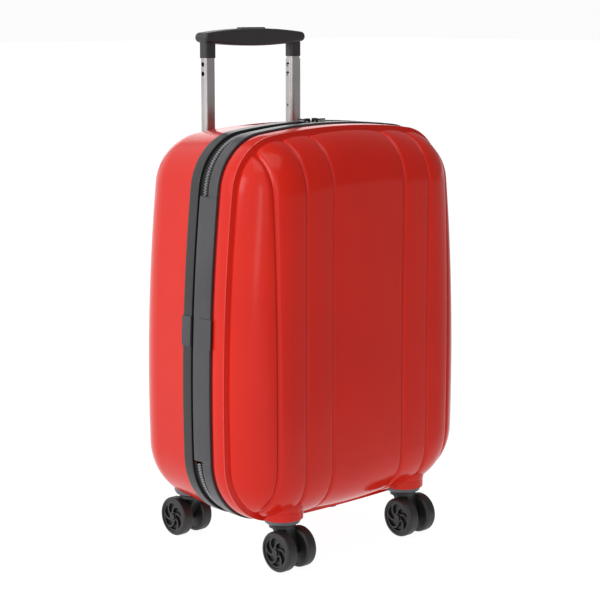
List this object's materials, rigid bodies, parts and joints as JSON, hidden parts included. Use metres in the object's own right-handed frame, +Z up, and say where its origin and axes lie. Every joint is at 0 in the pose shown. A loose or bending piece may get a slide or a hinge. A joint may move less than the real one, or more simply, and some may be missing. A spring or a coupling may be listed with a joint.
{
  "type": "hard shell suitcase",
  "caption": "Upright hard shell suitcase on swivelling twin-wheel castors, with a ribbed red front, a zip between grey rims and a telescopic trolley handle partly raised.",
  "frame": {"origin": "on the ground, under the centre of the bounding box", "axes": "+Z up, -Y towards the ribbed front, +Y towards the trolley handle, +X to the right seen from the front"},
  "size_m": [0.3959, 0.2619, 0.665],
  "materials": {
    "red_shell": "gloss",
    "grey_trim": "satin",
    "castor_grey": "satin",
    "zip_fabric": "woven",
    "lining_cloth": "woven",
    "strap_web": "woven",
    "tube_metal": "brushed",
    "black_plastic": "satin",
    "wheel_plastic": "satin",
    "tyre_rubber": "matt",
    "steel": "brushed",
    "slider_metal": "satin"
  },
  "bodies": {
    "case_back": {"back_shell": "red_shell", "back_lining": "lining_cloth", "back_rim": "grey_trim", "zip_tape_back": "zip_fabric", "hinge_strip": "zip_fabric", "rim_clip_back": "grey_trim", "bottom_feet": "grey_trim", "carry_handle": "black_plastic", "packing_straps": "strap_web", "strap_buckle": "black_plastic", "trolley_tray": "black_plastic", "trolley_bracket": "black_plastic", "outer_tubes": "tube_metal", "carry_tray": "red_shell", "castor_base_back_left": "castor_grey", "castor_base_back_right": "castor_grey"},
    "case_front": {"front_shell": "red_shell", "front_lining": "lining_cloth", "front_rim": "grey_trim", "zip_tape_front": "zip_fabric", "side_cover": "grey_trim", "rim_clip_front": "grey_trim", "castor_base_front_left": "castor_grey", "castor_base_front_right": "castor_grey"},
    "right_middle": {"middle_tube_right": "tube_metal"},
    "left_middle": {"middle_tube_left": "tube_metal"},
    "handle": {"trolley_grip": "black_plastic", "inner_tube_left": "tube_metal", "inner_tube_right": "tube_metal", "button_spring": "steel"},
    "button": {"grip_button": "black_plastic", "release_yoke": "steel"},
    "castor_front_left": {"castor_fork_front_left": "castor_grey", "axle_front_left": "steel"},
    "wheel_front_left_outer": {"hub_front_left_outer": "wheel_plastic", "tyre_front_left_outer": "tyre_rubber"},
    "wheel_front_left_inner": {"hub_front_left_inner": "wheel_plastic", "tyre_front_left_inner": "tyre_rubber"},
    "castor_front_right": {"castor_fork_front_right": "castor_grey", "axle_front_right": "steel"},
    "wheel_front_right_outer": {"hub_front_right_outer": "wheel_plastic", "tyre_front_right_outer": "tyre_rubber"},
    "wheel_front_right_inner": {"hub_front_right_inner": "wheel_plastic", "tyre_front_right_inner": "tyre_rubber"},
    "castor_back_left": {"castor_fork_back_left": "castor_grey", "axle_back_left": "steel"},
    "wheel_back_left_outer": {"hub_back_left_outer": "wheel_plastic", "tyre_back_left_outer": "tyre_rubber"},
    "wheel_back_left_inner": {"hub_back_left_inner": "wheel_plastic", "tyre_back_left_inner": "tyre_rubber"},
    "castor_back_right": {"castor_fork_back_right": "castor_grey", "axle_back_right": "steel"},
    "wheel_back_right_outer": {"hub_back_right_outer": "wheel_plastic", "tyre_back_right_outer": "tyre_rubber"},
    "wheel_back_right_inner": {"hub_back_right_inner": "wheel_plastic", "tyre_back_right_inner": "tyre_rubber"},
    "slider_left": {"zip_slider_left": "slider_metal"},
    "pull_left": {"zip_pull_left": "slider_metal"},
    "slider_right": {"zip_slider_right": "slider_metal"},
    "pull_right": {"zip_pull_right": "slider_metal"}
  },
  "joints": [
    {"name": "case_opening", "type": "hinge", "parent": "case_back", "child": "case_front", "pos_m": [-0.2001, -0.0282, 0.3], "axis": [0, 0, -1], "range_deg": [0, 178]},
    {"name": "right_middle_slide", "type": "slide", "parent": "case_back", "child": "right_middle", "axis": [0, 0, 1], "range_m": [-0.138, 0.077]},
    {"name": "handle_slide", "type": "slide", "parent": "right_middle", "child": "handle", "axis": [0, 0, 1], "range_m": [0, 0.215]},
    {"name": "left_middle_slide", "type": "slide", "parent": "case_back", "child": "left_middle", "axis": [0, 0, 1], "range_m": [0, 0.215]},
    {"name": "button_press", "type": "slide", "parent": "handle", "child": "button", "axis": [0, 0, -1], "range_m": [0, 0.0025], "stiffness_N_per_m": 600, "springref_m": -0.003, "deforming": ["button_spring"]},
    {"name": "swivel_front_left", "type": "hinge", "parent": "case_front", "child": "castor_front_left", "pos_m": [-0.1079, -0.08615, 0.06], "axis": [0, 0, 1], "continuous": true},
    {"name": "roll_front_left_outer", "type": "hinge", "parent": "castor_front_left", "child": "wheel_front_left_outer", "pos_m": [-0.1239, -0.09915, 0.02575], "axis": [1, 0, 0], "continuous": true},
    {"name": "roll_front_left_inner", "type": "hinge", "parent": "castor_front_left", "child": "wheel_front_left_inner", "pos_m": [-0.0919, -0.09915, 0.02575], "axis": [1, 0, 0], "continuous": true},
    {"name": "swivel_front_right", "type": "hinge", "parent": "case_front", "child": "castor_front_right", "pos_m": [0.1079, -0.08615, 0.06], "axis": [0, 0, 1], "continuous": true},
    {"name": "roll_front_right_outer", "type": "hinge", "parent": "castor_front_right", "child": "wheel_front_right_outer", "pos_m": [0.1239, -0.09915, 0.02575], "axis": [1, 0, 0], "continuous": true},
    {"name": "roll_front_right_inner", "type": "hinge", "parent": "castor_front_right", "child": "wheel_front_right_inner", "pos_m": [0.0919, -0.09915, 0.02575], "axis": [1, 0, 0], "continuous": true},
    {"name": "swivel_back_left", "type": "hinge", "parent": "case_back", "child": "castor_back_left", "pos_m": [-0.1079, 0.09215, 0.06], "axis": [0, 0, 1], "continuous": true},
    {"name": "roll_back_left_outer", "type": "hinge", "parent": "castor_back_left", "child": "wheel_back_left_outer", "pos_m": [-0.1239, 0.10515, 0.02575], "axis": [1, 0, 0], "continuous": true},
    {"name": "roll_back_left_inner", "type": "hinge", "parent": "castor_back_left", "child": "wheel_back_left_inner", "pos_m": [-0.0919, 0.10515, 0.02575], "axis": [1, 0, 0], "continuous": true},
    {"name": "swivel_back_right", "type": "hinge", "parent": "case_back", "child": "castor_back_right", "pos_m": [0.1079, 0.09215, 0.06], "axis": [0, 0, 1], "continuous": true},
    {"name": "roll_back_right_outer", "type": "hinge", "parent": "castor_back_right", "child": "wheel_back_right_outer", "pos_m": [0.1239, 0.10515, 0.02575], "axis": [1, 0, 0], "continuous": true},
    {"name": "roll_back_right_inner", "type": "hinge", "parent": "castor_back_right", "child": "wheel_back_right_inner", "pos_m": [0.0919, 0.10515, 0.02575], "axis": [1, 0, 0], "continuous": true},
    {"name": "zip_run_left", "type": "hinge", "parent": "case_back", "child": "slider_left", "pos_m": [0, -0.0282, -0.3988], "axis": [0, 1, 0], "range_deg": [-5.5, 0]},
    {"name": "pull_lift_left", "type": "hinge", "parent": "slider_left", "child": "pull_left", "pos_m": [-0.01303, -0.0282, 0.55041], "axis": [0.9999, 0, 0.0137], "range_deg": [0, 100]},
    {"name": "zip_run_right", "type": "hinge", "parent": "case_back", "child": "slider_right", "pos_m": [0, -0.0282, -0.3988], "axis": [0, 1, 0], "range_deg": [0, 5.5]},
    {"name": "pull_lift_right", "type": "hinge", "parent": "slider_right", "child": "pull_right", "pos_m": [0.0005, -0.0282, 0.5505], "axis": [0, -1, 0], "range_deg": [0, 100]}
  ],
  "couplings": [
    {"joint": "left_middle_slide", "follows": "handle_slide", "ratio": 1}
  ]
}
